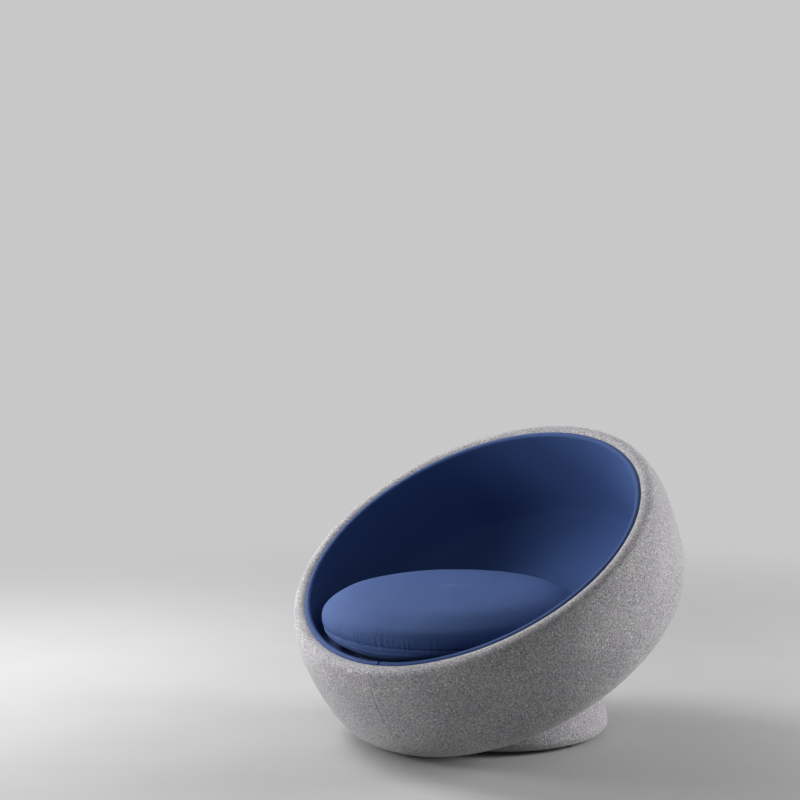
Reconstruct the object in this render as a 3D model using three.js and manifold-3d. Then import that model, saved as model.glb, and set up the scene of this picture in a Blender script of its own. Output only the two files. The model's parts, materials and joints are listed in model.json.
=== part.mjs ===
// Pod chair: a tilted upholstered bowl with a round loose cushion, standing on a round plinth.
// Millimetres, +Z up, the chair faces -Y, the floor is at z = 0 and the symmetry plane is x = 0.

import * as THREE from "three";
import { mergeVertices } from "three/addons/utils/BufferGeometryUtils.js";
import Module from "manifold-3d";

const wasm = await Module();
wasm.setup();

// Gaps and counts shared by all pieces
const touchGap = 0.3;
const overrun = 300;
const roundSegments = 32;
const smallSegments = 10;
const screwSegments = 6;

// Bowl: the outer felt surface, described by arcs in its own tilted frame
const bowlRadius = 560;
const bowlFloorGap = 8;
const bowlTilt = 32.5;
const bowlLean = 2.8;
const rimTuckRadius = 240;
const rimTuckAngle = 22.2;
const rimRollRadius = 24;
const rimWrapAngle = 235;
const wallArcRadius = 1100;
const wallArcAngle = -6.3;
const turnArcRadius = 220;
const turnArcAngle = -17.1;
const shoulderArcRadius = 90;
const shoulderArcAngle = -66;

// Bowl: layers from the outside in
const feltThickness = 3;
const outerFoamThickness = 10;
const mouldingThickness = 5;
const linerClothThickness = 3;

// Liner: the inner surface of the bowl
const bowlWallDepth = 72;
const linerRadius = bowlRadius - bowlWallDepth;
const linerTuckAngle = 19;
const linerTurnRadius = 160;
const linerShoulderRadius = 60;
const lipRadius = 20;
const lipHiddenAngle = 40;

// Seat: a level deck inside the bowl and the loose cushion on it
const deckLipDrop = 7.3;
const seatTilt = 1.5;
const cushionOverhang = 37.5;
const cushionForward = 2.3;
const cushionHalfHeight = 80;
const cushionSquareness = 3.2;
const cushionRestDepth = 2;
const cushionClothThickness = 2.5;
const cushionUpperSteps = 8;
const cushionLowerSteps = 4;
const seamDrop = 42;
const seamDepth = 4;
const seamWidth = 8;
const zipLength = 380;
const zipWidth = 14;
const zipInset = 0.8;
const sliderWidth = 9;
const sliderHeight = 10;
const sliderThickness = 4;
const sliderCorner = 2;

// Saddle: the flat pad under the bowl and the plate it is bolted to
const padRadius = 118;
const padHoleClearance = 4;
const padTop = 13;
const plateThickness = 18;
const boltCircleRadius = 85;
const boltRadius = 4;
const boltHoleClearance = 0.5;
const boltHeadRadius = 7.5;
const boltHeadHeight = 5.3;
const boltLength = 28;
const washerRadius = 11;
const washerThickness = 1.6;
const nutFlangeRadius = 12;
const nutFlangeThickness = 1.8;
const nutBarrelRadius = 5.6;
const nutBarrelLength = 11;
const boltCount = 4;
const pocketHeight = 24;

// Plinth: an upright tapered drum under the bowl
const plinthSaddleRoom = 221;
const plinthFrontRise = 33.5;
const plinthTaper = 12;
const plinthBottom = 9;
const plinthEdgeRadius = 24;
const plinthFoamThickness = 10;
const plinthWallThickness = 12;
const feltFlangeWidth = 40;
const boardThickness = 18;
const dustCoverThickness = 1.2;

// Cradle: slotted ribs on the base board, shaped to the underside of the bowl
const ribThickness = 18;
const sideRibOffset = 90;
const frontRibForward = 30;
const backRibForward = -162;
const frontSlotLevel = 66;
const backSlotLevel = 96;
const screwHeadRadius = 4.5;
const screwHeadHeight = 4;
const screwRadius = 2.2;
const screwLength = 38;
const screwClearance = 0.3;
const sideScrewForwards = [-40, -245];
const crossScrewOffset = 165;

// Glides: low discs with a pin, pressed into the base board
const glideCount = 6;
const glideRadius = 16;
const glideInset = 47;
const glidePinRadius = 3;
const glidePinLength = 20;
const glidePinClearance = 0.3;
const glideEdge = 2;

// Colours, as seen in soft daylight
const feltMaterial = { color: 0xa19fa1, roughness: 0.95, metalness: 0 };
const blueMaterial = { color: 0x3d5487, roughness: 0.8, metalness: 0 };
const foamMaterial = { color: 0xd9d2bd, roughness: 0.95, metalness: 0 };
const mouldingMaterial = { color: 0x8b8a7e, roughness: 0.55, metalness: 0 };
const plywoodMaterial = { color: 0xb08d5f, roughness: 0.7, metalness: 0 };
const steelMaterial = { color: 0x9a9ca0, roughness: 0.35, metalness: 1 };
const blackMaterial = { color: 0x18181a, roughness: 0.6, metalness: 0 };
const zipMaterial = { color: 0x2b3a60, roughness: 0.7, metalness: 0 };

const radians = THREE.MathUtils.degToRad;

// A closed three.js geometry as a solid that can be cut and joined
function solidOf(geometry) {
  const bare = geometry.clone();
  bare.deleteAttribute("normal");
  bare.deleteAttribute("uv");
  const merged = mergeVertices(bare, touchGap / 100);
  const corners = merged.index.array;
  const kept = [];
  for (let i = 0; i < corners.length; i += 3) {
    const [a, b, c] = [corners[i], corners[i + 1], corners[i + 2]];
    if (a !== b && b !== c && a !== c) kept.push(a, b, c);
  }
  const mesh = new wasm.Mesh({
    numProp: 3,
    vertProperties: merged.attributes.position.array,
    triVerts: new Uint32Array(kept),
  });
  return new wasm.Manifold(mesh);
}

// A solid as a geometry for a mesh
function geometryOf(solid) {
  const mesh = solid.getMesh();
  const geometry = new THREE.BufferGeometry();
  geometry.setAttribute("position", new THREE.BufferAttribute(mesh.vertProperties, 3));
  geometry.setIndex(new THREE.BufferAttribute(mesh.triVerts, 1));
  const faceted = geometry.toNonIndexed();
  faceted.computeVertexNormals();
  return faceted;
}

function signedArea(outline) {
  let area = 0;
  outline.forEach((point, i) => {
    const next = outline[(i + 1) % outline.length];
    area += point.x * next.y - next.x * point.y;
  });
  return area / 2;
}

// A solid of revolution about +Z. An outline of (radius, height) points either starts and ends
// on the axis or closes on itself. Its first facet line lies in the symmetry plane, at the front.
function revolve(outline, segments = roundSegments) {
  const points = outline.map((p) => new THREE.Vector2(Math.max(p.x, 0), p.y));
  if (signedArea(points) < 0) points.reverse();
  const onAxis = points.filter((p) => p.x === 0).length;
  if (onAxis === 0) points.push(points[0].clone());
  else while (points[0].x !== 0 || points[points.length - 1].x !== 0) points.push(points.shift());
  return new THREE.LatheGeometry(points, segments).rotateX(Math.PI / 2);
}

// Upright round stock from one height to another
function disc(radius, bottom, top, segments = roundSegments) {
  const outline = [
    new THREE.Vector2(0, bottom),
    new THREE.Vector2(radius, bottom),
    new THREE.Vector2(radius, top),
    new THREE.Vector2(0, top),
  ];
  return revolve(outline, segments);
}

function block(width, depth, height, x, y, z) {
  return new THREE.BoxGeometry(width, depth, height).translate(x, y, z);
}

// Everything above a level plane, wide enough for the whole chair
function above(level) {
  const size = bowlRadius + overrun;
  return solidOf(disc(size, level, level + 2 * size));
}

// Points along an arc that leaves a point tangentially. A point carries the direction that
// faces out of the material, so that a layer is made by moving points along it.
function followArc(from, radius, toAngle, steps) {
  const start = from.angle;
  const points = [];
  for (let i = 1; i <= steps; i += 1) {
    const angle = THREE.MathUtils.lerp(start, toAngle, i / steps);
    const x = from.x + radius * (Math.cos(radians(angle)) - Math.cos(radians(start)));
    const y = from.y + radius * (Math.sin(radians(angle)) - Math.sin(radians(start)));
    points.push({ x, y, angle });
  }
  return points;
}

function lastOf(points) {
  return points[points.length - 1];
}

function facing(point, turn = 0) {
  const angle = radians(point.angle + turn);
  return { ...point, nx: Math.cos(angle), ny: Math.sin(angle) };
}

// The same line moved into the material by a depth
function sunk(line, depth) {
  return line.map((p) => new THREE.Vector2(p.x - depth * p.nx, p.y - depth * p.ny));
}

function onAxis(outline) {
  return outline.map((p) => (Math.abs(p.x) < touchGap ? new THREE.Vector2(0, p.y) : p));
}

// The strip between two depths under a line
function layer(line, outerDepth, innerDepth) {
  return onAxis([...sunk(line, outerDepth), ...sunk(line, innerDepth).reverse()]);
}

// Outer line of the bowl, from the end of the rim roll round to the pole. The moulding follows it
// with fewer corners.
function bowlLine() {
  const widest = { x: bowlRadius, y: 0, angle: 0 };
  const tuck = followArc(widest, rimTuckRadius, rimTuckAngle, 2);
  const roll = followArc(lastOf(tuck), rimRollRadius, rimWrapAngle, 6);
  const wall = followArc(widest, wallArcRadius, wallArcAngle, 1);
  const turn = followArc(lastOf(wall), turnArcRadius, turnArcAngle, 1);
  const shoulder = followArc(lastOf(turn), shoulderArcRadius, shoulderArcAngle, 3);
  const crownRadius = lastOf(shoulder).x / Math.cos(radians(shoulderArcAngle));
  const openingShare = (padRadius + padHoleClearance) / crownRadius;
  const openingAngle = -THREE.MathUtils.radToDeg(Math.acos(openingShare));
  const crown = followArc(lastOf(shoulder), crownRadius, openingAngle, 1);
  const pole = followArc(lastOf(crown), crownRadius, -90, 1);
  const rim = [...tuck.slice().reverse(), widest];
  return {
    roll: roll.map((p) => facing(p)),
    body: [...rim, ...wall, ...turn, ...shoulder, ...crown].map((p) => facing(p)),
    hidden: [...rim, ...turn, ...shoulder.slice(1), ...crown].map((p) => facing(p)),
    pole: pole.map((p) => facing(p)),
  };
}

const bowl = bowlLine();
const rimRollLine = [...bowl.roll.slice().reverse(), ...bowl.body];
const fullBowlLine = [...bowl.body, ...bowl.pole];
const poleDepth = lastOf(bowl.pole).y;
const mouldingOuterDepth = feltThickness + touchGap + outerFoamThickness + touchGap;
const mouldingInnerDepth = mouldingOuterDepth + mouldingThickness;
const rollCentre = new THREE.Vector2(
  bowl.body[0].x - rimRollRadius * bowl.body[0].nx,
  bowl.body[0].y - rimRollRadius * bowl.body[0].ny,
);

// A point of one of the bowl's lines, in the front or the back half of the symmetry plane, as it
// lies from the middle of the tilted bowl
function tilted(point, side) {
  const across = side * point.x + leanAt(point.y);
  const [c, s] = [Math.cos(radians(bowlTilt)), Math.sin(radians(bowlTilt))];
  return { y: across * c - point.y * s, z: across * s + point.y * c };
}

// How far back a line first dips under a level, which may slope up towards the back
function dip(line, side, level, slope) {
  const places = line.map((point) => tilted(point, side));
  const rise = (place) => place.z - level - slope * place.y;
  const next = places.findIndex((place) => rise(place) < 0);
  const [from, to] = [places[next - 1], places[next]];
  return THREE.MathUtils.lerp(from.y, to.y, rise(from) / (rise(from) - rise(to)));
}

// The bowl hangs a gap above the floor at its lowest place, which is at the front. The plinth
// reaches forward to where the bowl is low over the floor, and back past the saddle.
const bowlHeight = bowlFloorGap - Math.min(...fullBowlLine.map((point) => tilted(point, -1).z));
const plinthFront = dip(fullBowlLine.slice().reverse(), -1, plinthFrontRise - bowlHeight, 0);
const plinthRear = tilted(lastOf(bowl.pole), 1).y + plinthSaddleRoom;
const plinthRadius = (plinthRear - plinthFront) / 2;
const plinthBack = (plinthRear + plinthFront) / 2;
const plinthReach = bowlHeight;
const glideRing = plinthRadius - glideInset;

// The rim roll as full round stock of a radius, with the same facets as the bowl's outer line
function rollStock(radius) {
  const start = { x: rollCentre.x + radius, y: rollCentre.y, angle: 0 };
  const tuckPoint = lastOf(followArc(start, radius, rimTuckAngle, 1));
  const seen = followArc(tuckPoint, radius, rimWrapAngle, 6);
  const hidden = followArc(lastOf(seen), radius, rimTuckAngle + 360, 4);
  return leaning([...seen, ...hidden]);
}

// Inner line of the liner, from the hidden side of its lip over the lip and down to the pole
function linerLine() {
  const widest = { x: linerRadius, y: 0, angle: 0 };
  const tuck = followArc(widest, rimTuckRadius, linerTuckAngle, 2);
  const side = lastOf(tuck);
  const lipStart = { x: side.x, y: side.y, angle: linerTuckAngle + 180 };
  const lip = followArc(lipStart, lipRadius, lipHiddenAngle, 6).reverse();
  const wall = followArc(widest, wallArcRadius - bowlRadius + linerRadius, wallArcAngle, 1);
  const turn = followArc(lastOf(wall), linerTurnRadius, turnArcAngle, 1);
  const shoulder = followArc(lastOf(turn), linerShoulderRadius, shoulderArcAngle, 2);
  const crownRadius = lastOf(shoulder).x / Math.cos(radians(shoulderArcAngle));
  const crown = followArc(lastOf(shoulder), crownRadius, -90, 2);
  const hollow = [...tuck.slice().reverse(), widest, ...wall, ...turn, ...shoulder, ...crown];
  return { lip: lip.map((p) => facing(p)), hollow: hollow.map((p) => facing(p, 180)) };
}

const liner = linerLine();
const wholeLinerLine = [...liner.lip, ...liner.hollow];

// The deck starts just under the front lip and runs from wall to wall, and the cushion hangs over
// its edges
const deckSlope = Math.tan(radians(seatTilt));
const frontLip = tilted(liner.hollow[0], -1);
const deckDrop = deckLipDrop - frontLip.z + deckSlope * frontLip.y;
const deckFront = dip(liner.hollow, -1, -deckDrop, deckSlope);
const deckBack = dip(liner.hollow, 1, -deckDrop, deckSlope);
const cushionRadius = (deckBack - deckFront) / 2 + cushionOverhang;
const deckForward = cushionForward - (deckFront + deckBack) / 2;
const deckHeight = bowlHeight - deckDrop - deckForward * deckSlope;

// Frames: the tilted bowl, the seat inside it and the plinth below
const bowlGroup = new THREE.Group();
bowlGroup.position.set(0, 0, bowlHeight);
bowlGroup.rotation.x = radians(bowlTilt);

const seatGroup = new THREE.Group();
seatGroup.position.set(0, -deckForward, deckHeight);
seatGroup.rotation.x = radians(seatTilt);

const plinthGroup = new THREE.Group();
plinthGroup.position.set(0, plinthBack, 0);

const chair = new THREE.Group();
chair.add(bowlGroup, seatGroup, plinthGroup);
chair.updateMatrixWorld(true);

// A solid drawn in one group's frame, as it lies in another's
function seenFrom(solid, from, to) {
  const matrix = to.matrixWorld.clone().invert().multiply(from.matrixWorld);
  return solidOf(geometryOf(solid).applyMatrix4(matrix));
}

// The whole bowl leans a little: each level of it lies further forward the deeper it is
const leanMatrix = new THREE.Matrix4().makeShear(0, 0, 0, 0, 0, Math.tan(radians(bowlLean)));

function leaningSolid(geometry) {
  return solidOf(geometry.applyMatrix4(leanMatrix));
}

function leaning(outline) {
  return leaningSolid(revolve(outline));
}

function leanAt(height) {
  return height * Math.tan(radians(bowlLean));
}

function addPiece(group, name, geometry, look) {
  const mesh = new THREE.Mesh(geometry, new THREE.MeshStandardMaterial(look));
  mesh.name = name;
  group.add(mesh);
}

function addSolid(group, name, solid, look) {
  addPiece(group, name, geometryOf(solid), look);
}

// Saddle pad, plate and bolt places, in the bowl's frame
const padBottom = poleDepth + mouldingOuterDepth;
const padFace = padBottom + padTop;
const plateTop = padBottom - touchGap;
const plateBottom = plateTop - plateThickness;

function saddleStock(radius, bottom, top) {
  return solidOf(disc(radius, bottom, top).translate(0, leanAt(plateTop), 0));
}

function boltPlaces() {
  return Array.from({ length: boltCount }, (_, i) => {
    const angle = ((i + 1 / 2) * 2 * Math.PI) / boltCount;
    return [boltCircleRadius * Math.cos(angle), leanAt(plateTop) + boltCircleRadius * Math.sin(angle)];
  });
}

function drilled(solid, places, radius, bottom, top, segments = smallSegments) {
  let result = solid;
  for (const [x, y] of places) {
    const hole = disc(radius, bottom, top, segments).translate(x, y, 0);
    result = result.subtract(solidOf(hole));
  }
  return result;
}

// Felt over the outside of the bowl and round the rim roll
function bowlCover() {
  addSolid(bowlGroup, "bowl_felt_cover", leaning(layer(rimRollLine, 0, feltThickness)), feltMaterial);
}

// The angle, seen from the middle of the rim roll, at which a line running down leaves a circle
function crossingAngle([from, to], radius) {
  const start = from.clone().sub(rollCentre);
  const along = to.clone().sub(from).normalize();
  const middle = start.dot(along);
  const reach = Math.sqrt(radius ** 2 - start.lengthSq() + middle ** 2) - middle;
  const crossing = start.addScaledVector(along, reach);
  return THREE.MathUtils.radToDeg(Math.atan2(crossing.y, crossing.x));
}

// Foam under the felt, with a round roll in which the moulding's upper edge is held
function bowlFoam() {
  const outerDepth = feltThickness + touchGap;
  const innerDepth = outerDepth + outerFoamThickness;
  const slotDepth = mouldingInnerDepth + touchGap;
  const rollRadius = rimRollRadius - outerDepth;
  const slotAngle = crossingAngle(sunk(bowl.hidden.slice(0, 2), slotDepth), rollRadius);
  const edge = bowl.body[0];
  const start = { x: edge.x - outerDepth * edge.nx, y: edge.y - outerDepth * edge.ny, angle: edge.angle };
  const seen = followArc(start, rollRadius, rimWrapAngle, 6);
  const hidden = followArc(lastOf(seen), rollRadius, slotAngle + 360, 2);
  const slotEnd = new THREE.Vector2(-edge.ny, edge.nx).multiplyScalar(touchGap);
  const slot = [sunk([edge], slotDepth)[0].add(slotEnd), sunk([edge], innerDepth)[0].add(slotEnd)];
  const inner = sunk(bowl.hidden, innerDepth);
  const outer = sunk(bowl.body, outerDepth).reverse();
  const foam = leaning([...outer, ...seen, ...hidden, ...slot, ...inner]);
  addSolid(bowlGroup, "bowl_outer_foam", foam, foamMaterial);
}

// The moulded shell that carries the load, with a flat pad at the bottom
function bowlMoulding() {
  const pad = [new THREE.Vector2(padRadius, padFace), new THREE.Vector2(0, padFace)];
  const underside = [new THREE.Vector2(0, padBottom), new THREE.Vector2(padRadius, padBottom)];
  const inner = sunk(bowl.hidden, mouldingInnerDepth);
  const outer = sunk(bowl.hidden, mouldingOuterDepth).reverse();
  const shell = leaning([...inner, ...pad, ...underside, ...outer]);
  const holeRadius = boltRadius + boltHoleClearance;
  const moulding = drilled(shell, boltPlaces(), holeRadius, padBottom - overrun, padFace + overrun);
  addSolid(bowlGroup, "bowl_moulding", moulding, mouldingMaterial);
}

// Everything inside the liner's wall at a depth into the material
function hollow(depth) {
  const wall = sunk(liner.hollow, depth);
  return leaning(onAxis([new THREE.Vector2(0, wall[0].y), ...wall]));
}

// The seat deck's level as a half space, in the bowl's frame
function aboveDeck(depth) {
  return seenFrom(above(-depth), seatGroup, bowlGroup);
}

function linerFoam() {
  const outside = sunk([...bowl.hidden, ...bowl.pole], mouldingInnerDepth + touchGap);
  const depth = linerClothThickness + touchGap;
  const inside = sunk(wholeLinerLine, depth).reverse();
  const wall = leaning(onAxis([...outside, ...inside]));
  const fill = hollow(depth + linerClothThickness).subtract(aboveDeck(depth));
  const roll = rollStock(rimRollRadius + touchGap);
  const pocketRadius = padRadius + padHoleClearance;
  const pocket = saddleStock(pocketRadius, padBottom - overrun, padBottom + pocketHeight);
  const foam = wall.add(fill).subtract(roll).subtract(pocket);
  addSolid(bowlGroup, "liner_foam", foam, foamMaterial);
}

function linerCover() {
  const skin = leaning(layer(wholeLinerLine, 0, linerClothThickness));
  const slab = hollow(linerClothThickness / 2).subtract(aboveDeck(0));
  const roll = rollStock(rimRollRadius + touchGap);
  const cover = skin.add(slab).intersect(aboveDeck(linerClothThickness)).subtract(roll);
  addSolid(bowlGroup, "liner_cover", cover, blueMaterial);
}

// Plate, bolts, washers and tee nuts that hold the bowl to the cradle
function saddle() {
  const boltHole = boltRadius + boltHoleClearance;
  const nutHole = nutBarrelRadius + touchGap;
  const barrelTop = plateBottom + nutBarrelLength + touchGap;
  let plate = saddleStock(padRadius, plateBottom, plateTop);
  plate = drilled(plate, boltPlaces(), boltHole, plateBottom - overrun, plateTop + overrun);
  plate = drilled(plate, boltPlaces(), nutHole, plateBottom - overrun, barrelTop);
  addSolid(bowlGroup, "saddle_plate", plate, plywoodMaterial);
  boltPlaces().forEach(([x, y], i) => {
    const washerBottom = padFace + touchGap;
    const headBottom = washerBottom + washerThickness + touchGap;
    addSolid(bowlGroup, `saddle_washer_${i + 1}`, washerAt(x, y, washerBottom), steelMaterial);
    addSolid(bowlGroup, `saddle_bolt_${i + 1}`, boltAt(x, y, headBottom), steelMaterial);
    addSolid(bowlGroup, `saddle_tee_nut_${i + 1}`, teeNutAt(x, y), steelMaterial);
  });
}

function washerAt(x, y, bottom) {
  const ring = [
    new THREE.Vector2(boltRadius + touchGap, bottom),
    new THREE.Vector2(washerRadius, bottom),
    new THREE.Vector2(washerRadius, bottom + washerThickness),
    new THREE.Vector2(boltRadius + touchGap, bottom + washerThickness),
  ];
  return solidOf(revolve(ring, smallSegments).translate(x, y, 0));
}

function boltAt(x, y, headBottom) {
  const head = disc(boltHeadRadius, headBottom, headBottom + boltHeadHeight, 6);
  const shank = disc(boltRadius, headBottom - boltLength, headBottom + boltHeadHeight / 2, smallSegments);
  return solidOf(head).add(solidOf(shank)).translate([x, y, 0]);
}

function teeNutAt(x, y) {
  const bore = boltRadius + touchGap;
  const seat = plateBottom - touchGap;
  const outline = [
    new THREE.Vector2(bore, seat - nutFlangeThickness),
    new THREE.Vector2(nutFlangeRadius, seat - nutFlangeThickness),
    new THREE.Vector2(nutFlangeRadius, seat),
    new THREE.Vector2(nutBarrelRadius, seat),
    new THREE.Vector2(nutBarrelRadius, seat + nutBarrelLength),
    new THREE.Vector2(bore, seat + nutBarrelLength),
  ];
  return solidOf(revolve(outline, smallSegments).translate(x, y, 0));
}

// All that the bowl takes up, with the room above it, grown by a gap, as it lies over the plinth
function bowlBody(gap) {
  const wall = sunk(fullBowlLine, -gap);
  const top = wall[0].y + overrun;
  const room = [new THREE.Vector2(0, top), new THREE.Vector2(wall[0].x, top), ...wall];
  return seenFrom(leaning(onAxis(room)), bowlGroup, plinthGroup);
}

function saddleRoom() {
  const room = saddleStock(padRadius + touchGap, plateBottom - touchGap, plateTop + overrun);
  return seenFrom(room, bowlGroup, plinthGroup);
}

// Outer line of the plinth from its underside round the bottom edge and up the taper
function plinthLine() {
  const edge = { x: plinthRadius, y: plinthBottom + plinthEdgeRadius, angle: 0 };
  const up = followArc(edge, plinthEdgeRadius, plinthTaper, 1);
  const down = followArc(edge, plinthEdgeRadius, -90, 3);
  const rise = plinthReach - lastOf(up).y;
  const top = { x: lastOf(up).x - rise * Math.tan(radians(plinthTaper)), y: plinthReach, angle: plinthTaper };
  return [top, ...up, edge, ...down].map((p) => facing(p));
}

const plinth = plinthLine();
const plinthWallDepth = feltThickness + touchGap + plinthFoamThickness + touchGap;
const plinthInnerDepth = plinthWallDepth + plinthWallThickness;
const boardBottom = plinthBottom + feltThickness + touchGap;
const boardTop = boardBottom + boardThickness;
const drumFoot = boardTop + touchGap;

function plinthCover() {
  const flange = lastOf(plinth);
  const hem = { ...flange, x: flange.x - feltFlangeWidth };
  const skin = solidOf(revolve(layer([...plinth, hem], 0, feltThickness)));
  const holes = drilled(skin, glidePlaces(), glidePinRadius + glidePinClearance, -overrun, boardTop);
  addSolid(plinthGroup, "plinth_felt_cover", holes.subtract(bowlBody(touchGap)), feltMaterial);
}

// The whole drum at a depth under its outer line, with the rounded bottom edge
function drum(depth) {
  const side = sunk(plinth, depth);
  const top = new THREE.Vector2(0, side[0].y);
  const bottom = new THREE.Vector2(0, lastOf(side).y);
  return solidOf(revolve([top, ...side, bottom]));
}

// The drum at a depth as a plain taper, without the rounded edge
function taper(depth) {
  const [top, foot] = sunk(plinth.slice(0, 2), depth);
  const footRadius = foot.x + (foot.y - boardBottom) * Math.tan(radians(plinthTaper));
  const outline = [
    new THREE.Vector2(0, top.y),
    top,
    new THREE.Vector2(footRadius, boardBottom),
    new THREE.Vector2(0, boardBottom),
  ];
  return solidOf(revolve(outline));
}

// A piece of the drum that stands on the base board and is shaped to the bowl above it
function standing(solid) {
  return solid.intersect(above(drumFoot)).subtract(bowlBody(touchGap));
}

function plinthFoam() {
  const outerDepth = feltThickness + touchGap;
  const ring = drum(outerDepth).subtract(taper(outerDepth + plinthFoamThickness));
  addSolid(plinthGroup, "plinth_foam", standing(ring), foamMaterial);
}

function plinthWall() {
  const ring = taper(plinthWallDepth).subtract(taper(plinthInnerDepth));
  addSolid(plinthGroup, "plinth_wall", standing(ring), plywoodMaterial);
}

function glidePlaces() {
  return Array.from({ length: glideCount }, (_, i) => {
    const angle = (i * 2 * Math.PI) / glideCount;
    return [glideRing * Math.cos(angle), glideRing * Math.sin(angle)];
  });
}

function screwPlaces() {
  const places = [];
  for (const x of [-sideRibOffset, sideRibOffset]) {
    for (const forward of sideScrewForwards) places.push([x, -forward - plinthBack]);
  }
  for (const x of [-crossScrewOffset, crossScrewOffset]) {
    for (const forward of [frontRibForward, backRibForward]) places.push([x, -forward - plinthBack]);
  }
  return places;
}

function baseBoard() {
  const sinkTop = boardBottom + screwHeadHeight + screwClearance;
  const screwHole = screwRadius + screwClearance;
  let board = drum(feltThickness + touchGap).subtract(above(boardTop));
  board = drilled(board, glidePlaces(), glidePinRadius + glidePinClearance, 0, glideHoleTop());
  board = drilled(board, screwPlaces(), screwHole, 0, boardTop + overrun, screwSegments);
  board = drilled(board, screwPlaces(), screwHeadRadius + screwClearance, 0, sinkTop, screwSegments);
  addSolid(plinthGroup, "plinth_base_board", board.subtract(bowlBody(touchGap)), plywoodMaterial);
}

function dustCover() {
  const radius = lastOf(plinth).x - feltFlangeWidth - touchGap;
  const top = boardBottom - touchGap;
  addPiece(plinthGroup, "plinth_dust_cover", disc(radius, top - dustCoverThickness, top), blackMaterial);
}

// Ribs of the cradle: two along the chair, slotted from above, and two across, from below
function cradle() {
  const size = 2 * plinthRadius;
  const height = plinthReach - drumFoot;
  const middle = drumFoot + height / 2;
  const sides = { left: -sideRibOffset, right: sideRibOffset };
  const crossings = {
    front: { y: -frontRibForward - plinthBack, level: frontSlotLevel },
    back: { y: -backRibForward - plinthBack, level: backSlotLevel },
  };
  const slotWidth = ribThickness + 2 * touchGap;
  for (const [name, x] of Object.entries(sides)) {
    let rib = solidOf(block(ribThickness, size, height, x, 0, middle));
    for (const { y, level } of Object.values(crossings)) {
      const slotMiddle = level - touchGap + plinthReach / 2;
      rib = rib.subtract(solidOf(block(size, slotWidth, plinthReach, 0, y, slotMiddle)));
    }
    addRib(name, rib);
  }
  for (const [name, { y, level }] of Object.entries(crossings)) {
    let rib = solidOf(block(size, ribThickness, height, 0, y, middle));
    for (const x of Object.values(sides)) {
      const slotMiddle = level + touchGap - plinthReach / 2;
      rib = rib.subtract(solidOf(block(slotWidth, size, plinthReach, x, 0, slotMiddle)));
    }
    addRib(name, rib);
  }
}

function addRib(name, rib) {
  const inside = standing(rib).intersect(taper(plinthInnerDepth + touchGap)).subtract(saddleRoom());
  const hole = screwRadius + screwClearance;
  const top = screwTip() + screwClearance;
  const finished = drilled(inside, screwPlaces(), hole, 0, top, screwSegments);
  addSolid(plinthGroup, `cradle_rib_${name}`, finished, plywoodMaterial);
}

function screwTip() {
  return boardBottom + touchGap + screwLength;
}

function ribScrews() {
  const bottom = boardBottom + touchGap;
  screwPlaces().forEach(([x, y], i) => {
    const outline = [
      new THREE.Vector2(0, bottom),
      new THREE.Vector2(screwHeadRadius, bottom),
      new THREE.Vector2(screwHeadRadius, bottom + screwHeadHeight / 3),
      new THREE.Vector2(screwRadius, bottom + screwHeadHeight),
      new THREE.Vector2(screwRadius, screwTip() - screwHeadHeight),
      new THREE.Vector2(0, screwTip()),
    ];
    const screw = revolve(outline, screwSegments).translate(x, y, 0);
    addPiece(plinthGroup, `rib_screw_${i + 1}`, screw, steelMaterial);
  });
}

function glideHoleTop() {
  return plinthBottom + glidePinLength;
}

function glides() {
  const top = plinthBottom - touchGap;
  glidePlaces().forEach(([x, y], i) => {
    const outline = [
      new THREE.Vector2(0, 0),
      new THREE.Vector2(glideRadius - glideEdge, 0),
      new THREE.Vector2(glideRadius, glideEdge),
      new THREE.Vector2(glideRadius, top),
      new THREE.Vector2(glidePinRadius, top),
      new THREE.Vector2(glidePinRadius, top + glidePinLength),
      new THREE.Vector2(0, top + glidePinLength),
    ];
    const glide = revolve(outline, smallSegments).translate(x, y, 0);
    addPiece(plinthGroup, `glide_${i + 1}`, glide, blackMaterial);
  });
}

// A point of the cushion's section, which is a squared oval that is flat where it rests
function cushionPoint(angle) {
  const [across, up] = [Math.cos(radians(angle)), Math.sin(radians(angle))];
  const power = 2 / cushionSquareness;
  const height = cushionHalfHeight * Math.sign(up) * Math.abs(up) ** power;
  const y = Math.max(height, cushionRestDepth - cushionHalfHeight);
  const slope = Math.atan2(Math.sign(up) * Math.abs(up) ** (2 - power) / cushionHalfHeight,
    Math.abs(across) ** (2 - power) / cushionRadius);
  return facing({ x: cushionRadius * Math.abs(across) ** power, y, angle: THREE.MathUtils.radToDeg(slope) });
}

// The angle at which the section is a drop below its middle
function cushionAngleAt(drop) {
  return -THREE.MathUtils.radToDeg(Math.asin((drop / cushionHalfHeight) ** (cushionSquareness / 2)));
}

// Section of the cushion from its crown to its rest, drawn in along the seam low on its side
function cushionLine() {
  const seamTop = cushionAngleAt(seamDrop - seamWidth / 2);
  const seamFoot = cushionAngleAt(seamDrop + seamWidth / 2);
  const line = [];
  for (let i = 0; i <= cushionUpperSteps; i += 1) {
    line.push(cushionPoint(THREE.MathUtils.lerp(90, seamTop, i / cushionUpperSteps)));
  }
  const [drawnIn] = sunk([seamPoint], seamDepth);
  line.push({ ...seamPoint, x: drawnIn.x, y: drawnIn.y });
  for (let i = 0; i <= cushionLowerSteps; i += 1) {
    line.push(cushionPoint(THREE.MathUtils.lerp(seamFoot, -90, i / cushionLowerSteps)));
  }
  return line;
}

const seamPoint = cushionPoint(cushionAngleAt(seamDrop));
const cushion = cushionLine();
const cushionMiddle = cushionHalfHeight - cushionRestDepth + touchGap;

// The cushion's solid at a depth under its outer surface
function cushionBody(depth) {
  const line = sunk(cushion, depth);
  line[0].x = 0;
  lastOf(line).x = 0;
  return solidOf(revolve(line).translate(0, 0, cushionMiddle));
}

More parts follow.
